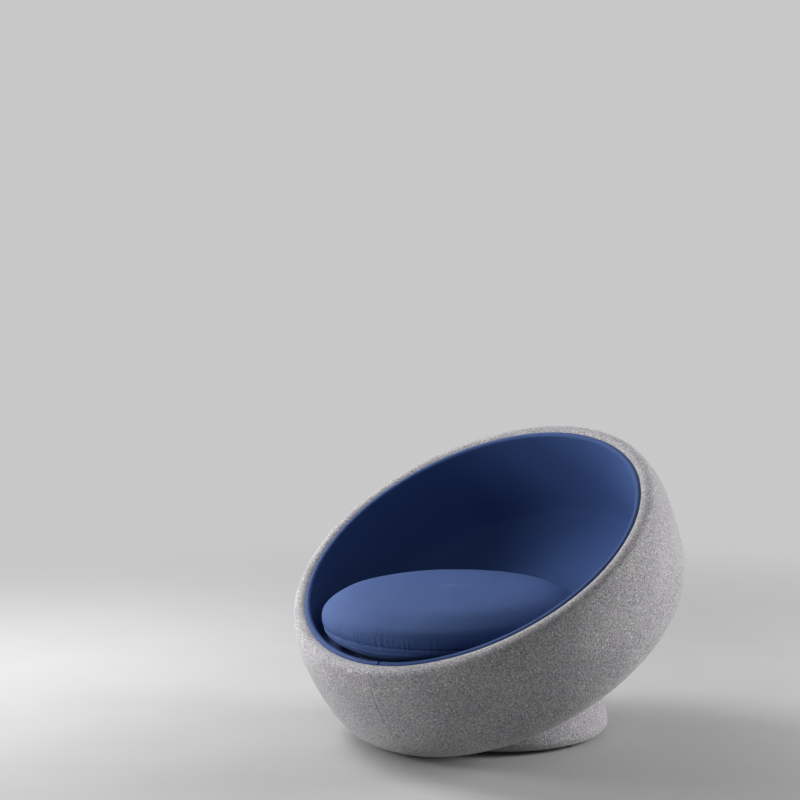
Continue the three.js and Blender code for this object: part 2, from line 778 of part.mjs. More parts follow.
// The zip opening: a band along the back of the seam, smaller by a gap for the zip itself
function zipWindow(gap) {
  const half = zipWidth / 2 - gap;
  const corners = [[1, 1], [1, -1], [-1, -1], [-1, 1]].map(([out, up]) => new THREE.Vector2(
    seamPoint.x + out * zipWidth * seamPoint.nx - up * half * seamPoint.ny,
    seamPoint.y + out * zipWidth * seamPoint.ny + up * half * seamPoint.nx,
  ));
  const band = solidOf(revolve(corners).translate(0, 0, cushionMiddle));
  const back = block(zipLength - 2 * gap, cushionRadius, 2 * cushionRadius, 0, cushionRadius, 0);
  return band.intersect(solidOf(back));
}

function cushionPieces() {
  const coreDepth = cushionClothThickness + touchGap;
  const skin = cushionBody(0).subtract(cushionBody(cushionClothThickness));
  addSolid(seatGroup, "cushion_cover", skin.subtract(zipWindow(0)), blueMaterial);
  addSolid(seatGroup, "cushion_core", cushionBody(coreDepth), foamMaterial);
  const tape = cushionBody(zipInset).subtract(cushionBody(cushionClothThickness));
  addSolid(seatGroup, "cushion_zip", tape.intersect(zipWindow(touchGap)), zipMaterial);
  zipSlider();
}

// The slider lies flat on the zip, on the facet beside the middle of the back
function zipSlider() {
  const [w, h, r] = [sliderWidth / 2, sliderHeight / 2, sliderCorner];
  const shape = new THREE.Shape();
  shape.moveTo(r - w, -h);
  shape.lineTo(w - r, -h);
  shape.absarc(w - r, r - h, r, -Math.PI / 2, 0);
  shape.lineTo(w, h - r);
  shape.absarc(w - r, h - r, r, 0, Math.PI / 2);
  shape.lineTo(r - w, h);
  shape.absarc(r - w, h - r, r, Math.PI / 2, Math.PI);
  shape.lineTo(-w, r - h);
  shape.absarc(r - w, r - h, r, Math.PI, Math.PI * 3 / 2);
  const settings = { depth: sliderThickness, bevelEnabled: false, curveSegments: 2 };
  const geometry = new THREE.ExtrudeGeometry(shape, settings).rotateX(-Math.PI / 2);
  const halfFacet = Math.PI / roundSegments;
  geometry.translate(0, touchGap - zipInset, 0).rotateX(radians(seamPoint.angle));
  geometry.translate(0, seamPoint.x * Math.cos(halfFacet), cushionMiddle + seamPoint.y).rotateZ(halfFacet);
  addPiece(seatGroup, "cushion_zip_slider", geometry, steelMaterial);
}

bowlCover();
bowlFoam();
bowlMoulding();
linerFoam();
linerCover();
saddle();
plinthCover();
plinthFoam();
plinthWall();
baseBoard();
dustCover();
cradle();
ribScrews();
glides();
cushionPieces();

// The middle of the chair's footprint goes to the origin
const outline = new THREE.Box3().setFromObject(chair, true);
chair.position.y = -(outline.min.y + outline.max.y) / 2;

export default chair;
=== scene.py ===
import json
import math

import bmesh
import bpy
import numpy as np
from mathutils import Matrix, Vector
from mathutils.bvhtree import BVHTree


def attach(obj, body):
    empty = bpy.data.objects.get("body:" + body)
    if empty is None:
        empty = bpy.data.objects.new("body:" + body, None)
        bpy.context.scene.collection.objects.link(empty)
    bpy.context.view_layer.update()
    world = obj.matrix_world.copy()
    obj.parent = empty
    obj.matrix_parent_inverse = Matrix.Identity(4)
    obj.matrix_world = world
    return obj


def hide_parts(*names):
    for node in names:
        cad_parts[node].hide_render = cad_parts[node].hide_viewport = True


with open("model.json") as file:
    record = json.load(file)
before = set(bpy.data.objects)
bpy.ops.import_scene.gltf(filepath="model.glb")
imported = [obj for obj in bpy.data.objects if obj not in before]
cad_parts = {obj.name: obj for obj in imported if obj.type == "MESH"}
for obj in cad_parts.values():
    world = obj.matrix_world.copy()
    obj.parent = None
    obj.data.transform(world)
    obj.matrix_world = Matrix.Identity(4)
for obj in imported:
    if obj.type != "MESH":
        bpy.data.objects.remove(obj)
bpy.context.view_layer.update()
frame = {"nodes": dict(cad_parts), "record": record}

# Lengths are in metres. Arcs, tapers and places round a piece are in degrees. The sizes are the
# solids' own, apart from the liner's tuck, lip and rounded corner and the cushion's seam, which
# follow the photograph more closely.

# The bowl, in its own frame: the middle of its widest ring is the origin and Z is its axis. The
# pole's radius is a rough one for its bottom inside the saddle opening, where no felt is.
BOWL_RADIUS = 0.560
BOWL_HEIGHT = 0.463
BOWL_TILT = math.radians(32.5)
BOWL_LEAN = math.tan(math.radians(2.8))
RIM_TUCK_RADIUS = 0.240
RIM_TUCK = 22.2
RIM_ROLL_RADIUS = 0.024
RIM_WRAP = 235
WALL_RADIUS = 1.100
WALL_ANGLE = -6.3
TURN_RADIUS = 0.220
TURN_ANGLE = -17.1
SHOULDER_RADIUS = 0.090
SHOULDER_ANGLE = -66
SADDLE_OPENING = 0.122
POLE_RADIUS = 1.05
FELT_THICKNESS = 0.003

# The liner, in the bowl's frame
LINER_RADIUS = 0.488
LINER_TUCK_RADIUS = 10.9
LINER_TUCK = 0.5
LINER_TURN_RADIUS = 0.160
LINER_SHOULDER_RADIUS = 0.060
LIP_RADIUS = 0.0085
LIP_HIDDEN = 30
CLOTH_THICKNESS = 0.003

# The level deck, and the fillets that round its corner with the liner's wall. Between two heights
# in the bowl's frame the deck's fillet narrows to the lip's.
DECK_FORWARD = 0.115
DECK_HEIGHT = 0.277
SEAT_TILT = math.radians(1.5)
DECK_BLEND = 0.030
LIP_BLEND = 0.003
BLEND_LEVELS = (0.030, 0.088)

# The cushion. Heights on it are from its middle.
CUSHION_RADIUS = 0.362
CUSHION_HALF = 0.080
CUSHION_POWER = 3.2
CUSHION_REST = 0.002
CUSHION_SEAM = -0.014
CUSHION_FLAT_BLEND = 0.003
ZIP_HEIGHT = -0.042
TOUCH_GAP = 0.0003

# The plinth
PLINTH_RADIUS = 0.305
PLINTH_BACK = 0.076
PLINTH_TAPER = 12
PLINTH_BOTTOM = 0.009
PLINTH_EDGE = 0.024
PLINTH_HEM = 0.040
PLINTH_TOP = 0.350

# How finely each arc, side and ring is drawn
WALL_STEPS, TURN_STEPS, SHOULDER_STEPS = 16, 8, 20
RIM_TUCK_STEPS, RIM_ROLL_STEPS, BOWL_CROWN_STEPS = 16, 36, 24
LINER_TUCK_STEPS, LIP_STEPS, LINER_CROWN_STEPS = 24, 30, 60
EDGE_TOP_STEPS, EDGE_BOTTOM_STEPS = 3, 16
PLINTH_SIDE_ROWS, PLINTH_HEM_ROWS = 60, 6
BOWL_SIDES, LINER_SIDES, PLINTH_SIDES = 420, 360, 300
HALVINGS = 40
MERGE_DISTANCE = 1e-6

# Seams that run down a piece: their places round from the front towards +X and their depths
FELT_SEAMS = (8, 188)
FELT_SEAM_DEPTH = 0.0005
LIP_SEAM = 9
LIP_SEAM_DEPTH = 0.0030
PLINTH_SEAM = 180
PLINTH_SEAM_DEPTH = 0.0012

# The form of such a seam, and how its piece's sides crowd together within its reach
SEAM_WIDTH = 0.0024
SEAM_SHOULDER = 0.012
SEAM_PUFF = 0.0004
SEAM_REACH = 0.05
SEAM_SIDES = 61
SEAM_CROWDING = 1.6

# The lip's seam fades out below the lip, at a height in the bowl's frame
LIP_SEAM_LEVEL, LIP_SEAM_FADE = 0.075, 0.004

# Unevenness of each cloth, in rows of height, wave size and seed
BOWL_UNEVENNESS = ((0.0007, 0.30, 11), (0.00025, 0.055, 12))
LINER_UNEVENNESS = ((0.0008, 0.28, 21), (0.00025, 0.06, 22))
PLINTH_UNEVENNESS = ((0.0005, 0.2, 31),)
CUSHION_UNEVENNESS = ((0.0012, 0.22, 41), (0.0004, 0.06, 42))
RIPPLE_WAVES = 9
RIPPLE_SPREAD = (0.6, 1.5)


# Outlines made of tangent arcs: each point has a radius, a height and the way it faces in degrees
def arc(start, radius, to_angle, steps):
    """The points after a start on an arc that leaves it smoothly and ends facing an angle."""
    x, y, angle = start
    first = math.radians(angle)
    return [
        (x + radius * (math.cos(t) - math.cos(first)),
         y + radius * (math.sin(t) - math.sin(first)),
         math.degrees(t))
        for t in np.radians(np.linspace(angle, to_angle, steps + 1))[1:]
    ]


def shell_side(widest, wall_radius, turn_radius, shoulder_radius):
    """A bowl's side from its widest ring down round the shoulder, and the radius of its crown."""
    wall = arc(widest, wall_radius, WALL_ANGLE, WALL_STEPS)
    turn = arc(wall[-1], turn_radius, TURN_ANGLE, TURN_STEPS)
    shoulder = arc(turn[-1], shoulder_radius, SHOULDER_ANGLE, SHOULDER_STEPS)
    return wall + turn + shoulder, shoulder[-1][0] / math.cos(math.radians(SHOULDER_ANGLE))


def bowl_line():
    """Outer line of the bowl from the end of the rim roll down to the saddle opening."""
    widest = (BOWL_RADIUS, 0, 0)
    tuck = arc(widest, RIM_TUCK_RADIUS, RIM_TUCK, RIM_TUCK_STEPS)
    roll = arc(tuck[-1], RIM_ROLL_RADIUS, RIM_WRAP, RIM_ROLL_STEPS)
    side, crown_radius = shell_side(widest, WALL_RADIUS, TURN_RADIUS, SHOULDER_RADIUS)
    opening = -math.degrees(math.acos(SADDLE_OPENING / crown_radius))
    crown = arc(side[-1], crown_radius, opening, BOWL_CROWN_STEPS)
    return roll[::-1] + tuck[::-1] + [widest] + side + crown


def liner_line():
    """Inner line of the liner from its lip's hidden side down to the pole, facing the hollow."""
    widest = (LINER_RADIUS, 0, 0)
    wall_radius = WALL_RADIUS - BOWL_RADIUS + LINER_RADIUS
    tuck = arc(widest, LINER_TUCK_RADIUS, LINER_TUCK, LINER_TUCK_STEPS)
    top = (tuck[-1][0], tuck[-1][1], LINER_TUCK + 180)
    lip = arc(top, LIP_RADIUS, LIP_HIDDEN, LIP_STEPS)[::-1]
    side, crown_radius = shell_side(widest, wall_radius, LINER_TURN_RADIUS, LINER_SHOULDER_RADIUS)
    crown = arc(side[-1], crown_radius, -90, LINER_CROWN_STEPS)
    hollow = tuck[::-1] + [widest] + side + crown
    return lip + [(max(x, 0.0), y, a + 180) for x, y, a in hollow]


def plinth_line():
    """Outer line of the plinth from its top down the taper, round the bottom edge to the hem."""
    edge = (PLINTH_RADIUS, PLINTH_BOTTOM + PLINTH_EDGE, 0)
    up = arc(edge, PLINTH_EDGE, PLINTH_TAPER, EDGE_TOP_STEPS)
    down = arc(edge, PLINTH_EDGE, -90, EDGE_BOTTOM_STEPS)
    x, y, _ = up[-1]
    slope = math.tan(math.radians(PLINTH_TAPER))
    heights = np.linspace(PLINTH_TOP, y, PLINTH_SIDE_ROWS)[:-1]
    side = [(x - (h - y) * slope, h, PLINTH_TAPER) for h in heights]
    inward = np.linspace(0, PLINTH_HEM, PLINTH_HEM_ROWS)[1:]
    hem = [(down[-1][0] - d, PLINTH_BOTTOM, -90) for d in inward]
    return side + up[::-1] + [edge] + down + hem


# Between the frames of the bowl, the seat and the plinth and the chair's own
def leant(points, slope):
    """Points sheared forward or back with their height."""
    return points + points[:, 2:3] * np.array([[0, slope, 0]])


def turned(points, angle):
    """Points turned about the X axis."""
    c, s = math.cos(angle), math.sin(angle)
    return points @ np.array([[1, 0, 0], [0, c, s], [0, -s, c]])


def footprint_shift():
    """The bowl's outline is centred front to back on the origin."""
    front = np.array([(0, -x, y) for x, y, _ in bowl_line()])
    both = np.vstack([front, front * np.array([1, -1, 1])])
    depth = turned(leant(both, BOWL_LEAN), BOWL_TILT)[:, 1]
    return -(depth.min() + depth.max()) / 2


FOOTPRINT_SHIFT = footprint_shift()
BOWL_PLACE = np.array([0, FOOTPRINT_SHIFT, BOWL_HEIGHT])
SEAT_PLACE = np.array([0, FOOTPRINT_SHIFT - DECK_FORWARD, DECK_HEIGHT])
PLINTH_PLACE = np.array([0, FOOTPRINT_SHIFT + PLINTH_BACK, 0])


def bowl_to_chair(points):
    return turned(leant(points, BOWL_LEAN), BOWL_TILT) + BOWL_PLACE


def chair_to_bowl(points):
    return leant(turned(points - BOWL_PLACE, -BOWL_TILT), -BOWL_LEAN)


def seat_to_chair(points):
    return turned(points, SEAT_TILT) + SEAT_PLACE


def chair_to_seat(points):
    return turned(points - SEAT_PLACE, -SEAT_TILT)


# Curves that the surfaces are shaped with
def bell(distance, width, power=2):
    """1 at a line, falling to 0 on both sides of it. A higher power makes the top flatter."""
    return np.exp(-((distance / width) ** power))


def fade_in(value, level, width):
    """0 below a level and 1 above it, with a smooth step of some width between."""
    return 1 / (1 + np.exp(-(value - level) / width))


def smooth_above(value, floor, blend):
    """The larger of a value and a floor level, rounded where they are within twice the blend."""
    near = np.maximum(1 - np.abs(value - floor) / (2 * blend), 0)
    return np.maximum(value, floor) + blend / 2 * near ** 2


def ripple(points, size, seed):
    """Smooth unevenness between -1 and 1, from a few waves that run in seeded directions."""
    waves = np.random.default_rng(seed)
    total = np.zeros(len(points))
    for _ in range(RIPPLE_WAVES):
        way = waves.normal(size=3)
        way *= 2 * math.pi / size * waves.uniform(*RIPPLE_SPREAD) / np.linalg.norm(way)
        total += np.sin(points @ way + waves.uniform(0, 2 * math.pi))
    return total / RIPPLE_WAVES


def unevenness(points, rows):
    """How far a cloth stands out of its plain form at each point."""
    return sum(height * ripple(points, size, seed) for height, size, seed in rows)


def from_seam(angles, seam):
    """How many degrees round the piece each angle is from a seam."""
    return np.abs((angles - seam + 180) % 360 - 180)


def seam_offset(angles, seam, radius, depth):
    """How far a surface moves out beside a seam that runs down it: a valley between soft edges."""
    distance = np.radians(from_seam(angles, seam)) * radius
    return (SEAM_PUFF * bell(distance, SEAM_SHOULDER)
            - (depth + SEAM_PUFF) * bell(distance, SEAM_WIDTH))


# Meshes
def ring_angles(count, seams, radius):
    """Angles for the sides of a revolved piece, closer together beside its seams."""
    angles = np.linspace(0, 360, count, endpoint=False)
    half = math.degrees(SEAM_REACH / radius)
    spread = np.linspace(-1, 1, SEAM_SIDES)
    for seam in seams:
        beside = seam + half * np.sign(spread) * np.abs(spread) ** SEAM_CROWDING
        angles = np.r_[angles[from_seam(angles, seam) > half], beside]
    return np.sort(angles % 360)


def revolved(line, angles, thickness, offset):
    """Points, quads and cut of a thin revolved skin, as if drawn over from its pole.

    Its outer side is moved out by an offset, a function of the points, their angles and radii.
    """
    line = np.array(line)
    turn = np.radians(angles)
    rings, sides = len(line), len(turn)
    facing = np.radians(line[:, 2])
    around = np.tile(np.c_[np.sin(turn), -np.cos(turn)], (rings, 1))
    radius = np.repeat(line[:, 0], sides)
    outward = around * np.repeat(np.cos(facing), sides)[:, None]
    normals = np.c_[outward, np.repeat(np.sin(facing), sides)]
    points = np.c_[around * radius[:, None], np.repeat(line[:, 1], sides)]
    under = points - normals * thickness
    points = points + normals * offset(points, np.tile(angles, rings), radius)[:, None]
    grid = np.arange(rings * sides).reshape(rings, sides)
    beside = np.roll(grid, -1, axis=1)
    outer = np.stack([grid[:-1], beside[:-1], beside[1:], grid[1:]], axis=-1).reshape(-1, 4)
    inner = outer[:, ::-1] + rings * sides
    ends = []
    for ring, flip in ((0, False), (rings - 1, True)):
        if line[ring, 0] > TOUCH_GAP:
            a, b = grid[ring], beside[ring]
            strip = np.stack([a, a + rings * sides, b + rings * sides, b], axis=-1)
            ends.append(strip[:, ::-1] if flip else strip)
    run = np.r_[0, np.cumsum(np.hypot(*np.diff(line[:, :2], axis=0).T))]
    cut = around * np.repeat(run[-1] - run, sides)[:, None]
    return np.vstack([points, under]), np.vstack([outer, inner] + ends), np.vstack([cut, cut])


def linked(name, data):
    """A new object in the scene."""
    piece = bpy.data.objects.new(name, data)
    bpy.context.scene.collection.objects.link(piece)
    return piece


def mesh_piece(name, points, faces, cut, body="base"):
    """A smooth-shaded piece on a body. Its cut is each point's place in the flat cloth."""
    mesh = bpy.data.meshes.new(name)
    mesh.from_pydata(points.tolist(), [], [tuple(face) for face in faces])
    corners = np.zeros(len(mesh.loops), dtype=np.int32)
    mesh.loops.foreach_get("vertex_index", corners)
    flat = mesh.uv_layers.new(name="cut")
    flat.data.foreach_set("uv", cut[corners].astype(np.float32).ravel())
    cleaned = bmesh.new()
    cleaned.from_mesh(mesh)
    bmesh.ops.remove_doubles(cleaned, verts=cleaned.verts, dist=MERGE_DISTANCE)
    bmesh.ops.recalc_face_normals(cleaned, faces=cleaned.faces)
    cleaned.to_mesh(mesh)
    cleaned.free()
    mesh.shade_smooth()
    piece = linked(name, mesh)
    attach(piece, body)
    return piece


# Materials
class Nodes:
    """A short way to wire a material: calls return node outputs."""

    def __init__(self, name):
        self.material = bpy.data.materials.new(name)
        self.material.use_nodes = True
        self.tree = self.material.node_tree
        self.tree.nodes.clear()
        self.output = self.tree.nodes.new("ShaderNodeOutputMaterial")
        self.shader = self.tree.nodes.new("ShaderNodeBsdfPrincipled")
        self.tree.links.new(self.shader.outputs[0], self.output.inputs[0])
        self.place = self.tree.nodes.new("ShaderNodeTexCoord")

    def feed(self, socket, value):
        if isinstance(value, bpy.types.NodeSocket):
            self.tree.links.new(value, socket)
        else:
            socket.default_value = value

    def noise(self, scale, detail, roughness, stretch=None):
        """Noise with a scale in repeats per metre."""
        node = self.tree.nodes.new("ShaderNodeTexNoise")
        source = self.place.outputs["Object"]
        if stretch:
            mapping = self.tree.nodes.new("ShaderNodeMapping")
            mapping.inputs["Scale"].default_value = stretch
            self.tree.links.new(source, mapping.inputs["Vector"])
            source = mapping.outputs[0]
        self.tree.links.new(source, node.inputs["Vector"])
        node.inputs["Scale"].default_value = scale
        node.inputs["Detail"].default_value = detail
        node.inputs["Roughness"].default_value = roughness
        return node.outputs["Fac"]

    def math(self, operation, a, b=0.0, c=0.0):
        node = self.tree.nodes.new("ShaderNodeMath")
        node.operation = operation
        for socket, value in zip(node.inputs, (a, b, c)):
            self.feed(socket, value)
        return node.outputs[0]

    def ramp(self, value, *stops):
        """Colours between stops, which are pairs of place and colour."""
        node = self.tree.nodes.new("ShaderNodeValToRGB")
        self.feed(node.inputs[0], value)
        elements = node.color_ramp.elements
        while len(elements) < len(stops):
            elements.new(0.5)
        for element, (place, colour) in zip(elements, stops):
            element.position = place
            element.color = (*colour, 1)
        return node.outputs[0]

    def mix(self, factor, a, b, blend="MIX"):
        node = self.tree.nodes.new("ShaderNodeMix")
        node.data_type = "RGBA"
        node.blend_type = blend
        self.feed(node.inputs["Factor"], factor)
        for name, value in (("A", a), ("B", b)):
            socket = [s for s in node.inputs if s.name == name and s.type == "RGBA"][0]
            self.feed(socket, value if isinstance(value, bpy.types.NodeSocket) else (*value, 1))
        return [s for s in node.outputs if s.type == "RGBA"][0]

    def bump(self, height, distance, strength, under=None):
        node = self.tree.nodes.new("ShaderNodeBump")
        node.inputs["Strength"].default_value = strength
        node.inputs["Distance"].default_value = distance
        self.feed(node.inputs["Height"], height)
        if under is not None:
            self.feed(node.inputs["Normal"], under)
        return node.outputs[0]

    def split(self, vector):
        node = self.tree.nodes.new("ShaderNodeSeparateXYZ")
        self.feed(node.inputs[0], vector)
        return node.outputs

    def finish(self, colour, roughness, normal=None, **settings):
        self.feed(self.shader.inputs["Base Color"], colour)
        self.feed(self.shader.inputs["Roughness"], roughness)
        if normal is not None:
            self.feed(self.shader.inputs["Normal"], normal)
        for name, value in settings.items():
            self.shader.inputs[name].default_value = value
        return self.material


WHITE = (1.0, 1.0, 1.0)

# Felt: its fibres' colours, the scales of its patterns and its gloss
FELT_DARK = (0.075, 0.072, 0.075)
FELT_MIDDLE = (0.360, 0.347, 0.358)
FELT_LIGHT = (0.76, 0.74, 0.76)
FELT_SHADE = (0.86, 0.86, 0.87)
FELT_CLUMPS, FELT_FIBRES, FELT_STRANDS, FELT_CLOUDS = 210, 660, 1800, 9
FELT_GLOSS = {
    "Sheen Weight": 0.35, "Sheen Roughness": 0.5, "Sheen Tint": (0.9, 0.9, 0.92, 1),
    "Specular IOR Level": 0.25,
}

# Blue cloth: its threads' colours, the scales of its patterns, its weave's pitch and its gloss. The
# weave's tint is painted shade, darker where the threads dip under.
BLUE_DEEP = (0.024, 0.058, 0.180)
BLUE = (0.036, 0.082, 0.245)
BLUE_PALE = (0.053, 0.110, 0.310)
BLUE_SHADE = (0.94, 0.94, 0.95)
# The weave's painted shade, darker where the threads dip under
WEAVE_PAINTED_SHADE = (0.84, 0.85, 0.88)
CLOTH_THREADS, CLOTH_SLUBS, CLOTH_CLOUDS = 820, 240, 6
WEAVE_PITCH = 0.0016
CLOTH_GLOSS = {
    "Sheen Weight": 0.15, "Sheen Roughness": 0.45, "Sheen Tint": (0.45, 0.60, 1.0, 1),
    "Specular IOR Level": 0.2,
}

# Hidden materials
WOOD_DARK, WOOD, WOOD_PALE = (0.34, 0.20, 0.09), (0.55, 0.37, 0.19), (0.68, 0.50, 0.29)
RESIN_DARK, RESIN_PALE = (0.19, 0.18, 0.14), (0.36, 0.35, 0.28)
FOAM_CELL, FOAM_PALE, FOAM_AGED = (0.52, 0.46, 0.34), (0.82, 0.77, 0.63), (0.74, 0.66, 0.47)
ZINC_DULL, ZINC_BRIGHT = (0.50, 0.50, 0.49), (0.68, 0.68, 0.68)
PLASTIC_BLACK, PLASTIC_SCUFFED = (0.014, 0.014, 0.015), (0.05, 0.05, 0.05)
WEB_BLACK, WEB_GREY = (0.010, 0.010, 0.011), (0.045, 0.045, 0.048)
ZIP_DEEP, ZIP_PALE = (0.015, 0.024, 0.065), (0.05, 0.075, 0.18)


def felt_material():
    """Mottled grey wool felt: pale, grey and near-black fibres in short matted clumps."""
    n = Nodes("grey wool felt")
    clumps = n.noise(FELT_CLUMPS, 3.0, 0.6)
    fibres = n.noise(FELT_FIBRES, 2.0, 0.7)
    strands = n.noise(FELT_STRANDS, 1.0, 0.6)
    cloudy = n.noise(FELT_CLOUDS, 2.0, 0.5)
    mixed = n.math("MULTIPLY_ADD", clumps, 0.65, n.math("MULTIPLY", fibres, 0.35))
    colour = n.ramp(mixed, (0.35, FELT_DARK), (0.47, FELT_MIDDLE), (0.52, FELT_MIDDLE),
                    (0.65, FELT_LIGHT))
    shade = n.ramp(cloudy, (0.3, FELT_SHADE), (0.7, WHITE))
    colour = n.mix(1.0, colour, shade, "MULTIPLY")
    rough = n.math("MULTIPLY_ADD", fibres, 0.12, 0.86)
    coarse = n.bump(clumps, 0.0022, 0.55)
    fine = n.bump(strands, 0.0008, 0.5, coarse)
    return n.finish(colour, rough, fine, **FELT_GLOSS)


def cloth_material():
    """Blue woven wool: a plain weave of slubby threads with a soft sheen, its weave drawn in
    painted shade where the threads dip under.
    """
    n = Nodes("blue wool cloth")
    u, v, _ = n.split(n.place.outputs["UV"])
    wave = 2 * math.pi / WEAVE_PITCH
    warp = n.math("SINE", n.math("MULTIPLY", u, wave))
    weft = n.math("SINE", n.math("MULTIPLY", v, wave))
    over = n.math("MULTIPLY", warp, weft)
    thread = n.noise(CLOTH_THREADS, 2.0, 0.6)
    slub = n.noise(CLOTH_SLUBS, 3.0, 0.6)
    broad = n.noise(CLOTH_CLOUDS, 2.0, 0.5)
    tone = n.math("MULTIPLY_ADD", slub, 0.35, n.math("MULTIPLY", thread, 0.65))
    colour = n.ramp(tone, (0.28, BLUE_DEEP), (0.50, BLUE), (0.74, BLUE_PALE))
    shade = n.ramp(broad, (0.3, BLUE_SHADE), (0.7, WHITE))
    colour = n.mix(1.0, colour, shade, "MULTIPLY")
    # Painted shade: the weave's cells where threads dip under others are darkened
    weave = n.ramp(n.math("MULTIPLY_ADD", over, 0.5, 0.5), (0.0, WEAVE_PAINTED_SHADE), (1.0, WHITE))
    colour = n.mix(1.0, colour, weave, "MULTIPLY")
    rough = n.math("MULTIPLY_ADD", thread, 0.16, 0.62)
    knit = n.bump(over, 0.00035, 0.6)
    fuzz = n.bump(slub, 0.0003, 0.35, knit)
    return n.finish(colour, rough, fuzz, **CLOTH_GLOSS)


def plywood_material():
    n = Nodes("birch plywood")
    layers = n.noise(26, 3.0, 0.6, stretch=(1, 1, 14))
    grain = n.noise(60, 4.0, 0.6, stretch=(1, 9, 1))
    tone = n.math("MULTIPLY_ADD", layers, 0.6, n.math("MULTIPLY", grain, 0.4))
    colour = n.ramp(tone, (0.35, WOOD_DARK), (0.5, WOOD), (0.7, WOOD_PALE))
    return n.finish(colour, 0.62, n.bump(grain, 0.0006, 0.4))


def moulding_material():
    n = Nodes("glass-fibre moulding")
    mat = n.noise(150, 4.0, 0.7)
    strands = n.noise(60, 2.0, 0.5, stretch=(1, 6, 1))
    colour = n.ramp(mat, (0.35, RESIN_DARK), (0.65, RESIN_PALE))
    rough = n.math("MULTIPLY_ADD", strands, 0.3, 0.35)
    return n.finish(colour, rough, n.bump(mat, 0.0008, 0.5))


def foam_material():
    n = Nodes("open-cell foam")
    cells = n.noise(900, 2.0, 0.6)
    patches = n.noise(14, 2.0, 0.5)
    colour = n.mix(patches, n.ramp(cells, (0.3, FOAM_CELL), (0.6, FOAM_PALE)), FOAM_AGED)
    return n.finish(colour, 0.9, n.bump(cells, 0.0009, 0.7))


def steel_material():
    n = Nodes("zinc-plated steel")
    brushed = n.noise(240, 3.0, 0.6, stretch=(1, 1, 8))
    spots = n.noise(45, 3.0, 0.6)
    colour = n.ramp(spots, (0.3, ZINC_DULL), (0.7, ZINC_BRIGHT))
    rough = n.math("MULTIPLY_ADD", brushed, 0.25, 0.22)
    return n.finish(colour, rough, n.bump(brushed, 0.0002, 0.4), Metallic=1.0)


def plastic_material():
    n = Nodes("moulded black plastic")
    grain = n.noise(1200, 2.0, 0.6)
    scuffs = n.noise(35, 4.0, 0.7)
    colour = n.ramp(scuffs, (0.45, PLASTIC_BLACK), (0.8, PLASTIC_SCUFFED))
    rough = n.math("MULTIPLY_ADD", scuffs, 0.3, 0.38)
    return n.finish(colour, rough, n.bump(grain, 0.0003, 0.5))


def dust_cloth_material():
    n = Nodes("non-woven dust cloth")
    web = n.noise(520, 4.0, 0.75)
    colour = n.ramp(web, (0.35, WEB_BLACK), (0.7, WEB_GREY))
    return n.finish(colour, 0.9, n.bump(web, 0.0006, 0.6))


def zip_material():
    n = Nodes("dark blue zip")
    ribs = n.noise(900, 2.0, 0.6, stretch=(0.3, 1, 1))
    colour = n.ramp(ribs, (0.3, ZIP_DEEP), (0.7, ZIP_PALE))
    return n.finish(colour, 0.6, n.bump(ribs, 0.0005, 0.6))


# By the record's material slots
MATERIALS = {
    "felt": felt_material(),
    "blue_cloth": cloth_material(),
    "foam": foam_material(),
    "moulding": moulding_material(),
    "plywood": plywood_material(),
    "steel": steel_material(),
    "black_plastic": plastic_material(),
    "black_cloth": dust_cloth_material(),
    "zip_tape": zip_material(),
}


def coat(piece, slot):
    """Gives a piece its slot's material and no other."""
    piece.data.materials.clear()
    piece.data.materials.append(MATERIALS[slot])


def dress(piece, slot):
    """Gives a new piece its slot's material."""
    coat(piece, slot)


def dress_solids():
    """Gives every solid its slot's material."""
    for entry in frame["record"]["subparts"]:
        coat(frame["nodes"][entry["node"]], entry["material_slot"])


# The bowl, its liner and the plinth
def bowl_felt():
    """The felt over the outside of the bowl and round its rim."""

    def offset(points, angles, radius):
        moved = unevenness(points, BOWL_UNEVENNESS)
        for seam in FELT_SEAMS:
            moved += seam_offset(angles, seam, radius, FELT_SEAM_DEPTH)
        return moved

    angles = ring_angles(BOWL_SIDES, FELT_SEAMS, BOWL_RADIUS)
    points, faces, cut = revolved(bowl_line(), angles, FELT_THICKNESS, offset)
    piece = mesh_piece("bowl_felt", bowl_to_chair(points), faces, cut)
    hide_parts("bowl_felt_cover", "bowl_outer_foam")
    dress(piece, "felt")


def liner_cloth():
    """The blue lining of the bowl, from its lip down to the level deck that cuts it off."""

    def offset(points, angles, radius):
        on_lip = fade_in(points[:, 2], LIP_SEAM_LEVEL, LIP_SEAM_FADE)
        seam = seam_offset(angles, LIP_SEAM, radius, LIP_SEAM_DEPTH)
        return unevenness(points, LINER_UNEVENNESS) + on_lip * seam

    angles = ring_angles(LINER_SIDES, (LIP_SEAM,), BOWL_RADIUS)
    points, faces, cut = revolved(liner_line(), angles, CLOTH_THICKNESS, offset)
    placed = chair_to_seat(bowl_to_chair(points))
    half = len(placed) // 2
    blend = np.interp(points[:half, 2], BLEND_LEVELS, (DECK_BLEND, LIP_BLEND))
    placed[:half, 2] = smooth_above(placed[:half, 2], 0, blend)
    placed[half:, 2] = smooth_above(placed[half:, 2], -CLOTH_THICKNESS, blend)
    piece = mesh_piece("liner_cloth", seat_to_chair(placed), faces, cut)
    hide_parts("liner_cover", "liner_foam")
    dress(piece, "blue_cloth")


def bowl_underside(points):
    """Height of the bowl's outer surface above each point's place on the floor, by halving."""
    line = np.array(bowl_line())[RIM_ROLL_STEPS + 1:]
    reach = np.append(line[:, 0], 0.0)
    depth = np.append(line[:, 1], line[-1, 1] - (SADDLE_OPENING ** 2) / (2 * POLE_RADIUS))
    low = np.full(len(points), PLINTH_BOTTOM)
    high = np.full(len(points), BOWL_HEIGHT)
    for _ in range(HALVINGS):
        middle = (low + high) / 2
        local = chair_to_bowl(np.c_[points[:, :2], middle])
        allowed = np.interp(-local[:, 2], -depth, reach, left=BOWL_RADIUS, right=0.0)
        inside = np.hypot(local[:, 0], local[:, 1]) < allowed
        high = np.where(inside, middle, high)
        low = np.where(inside, low, middle)
    return low


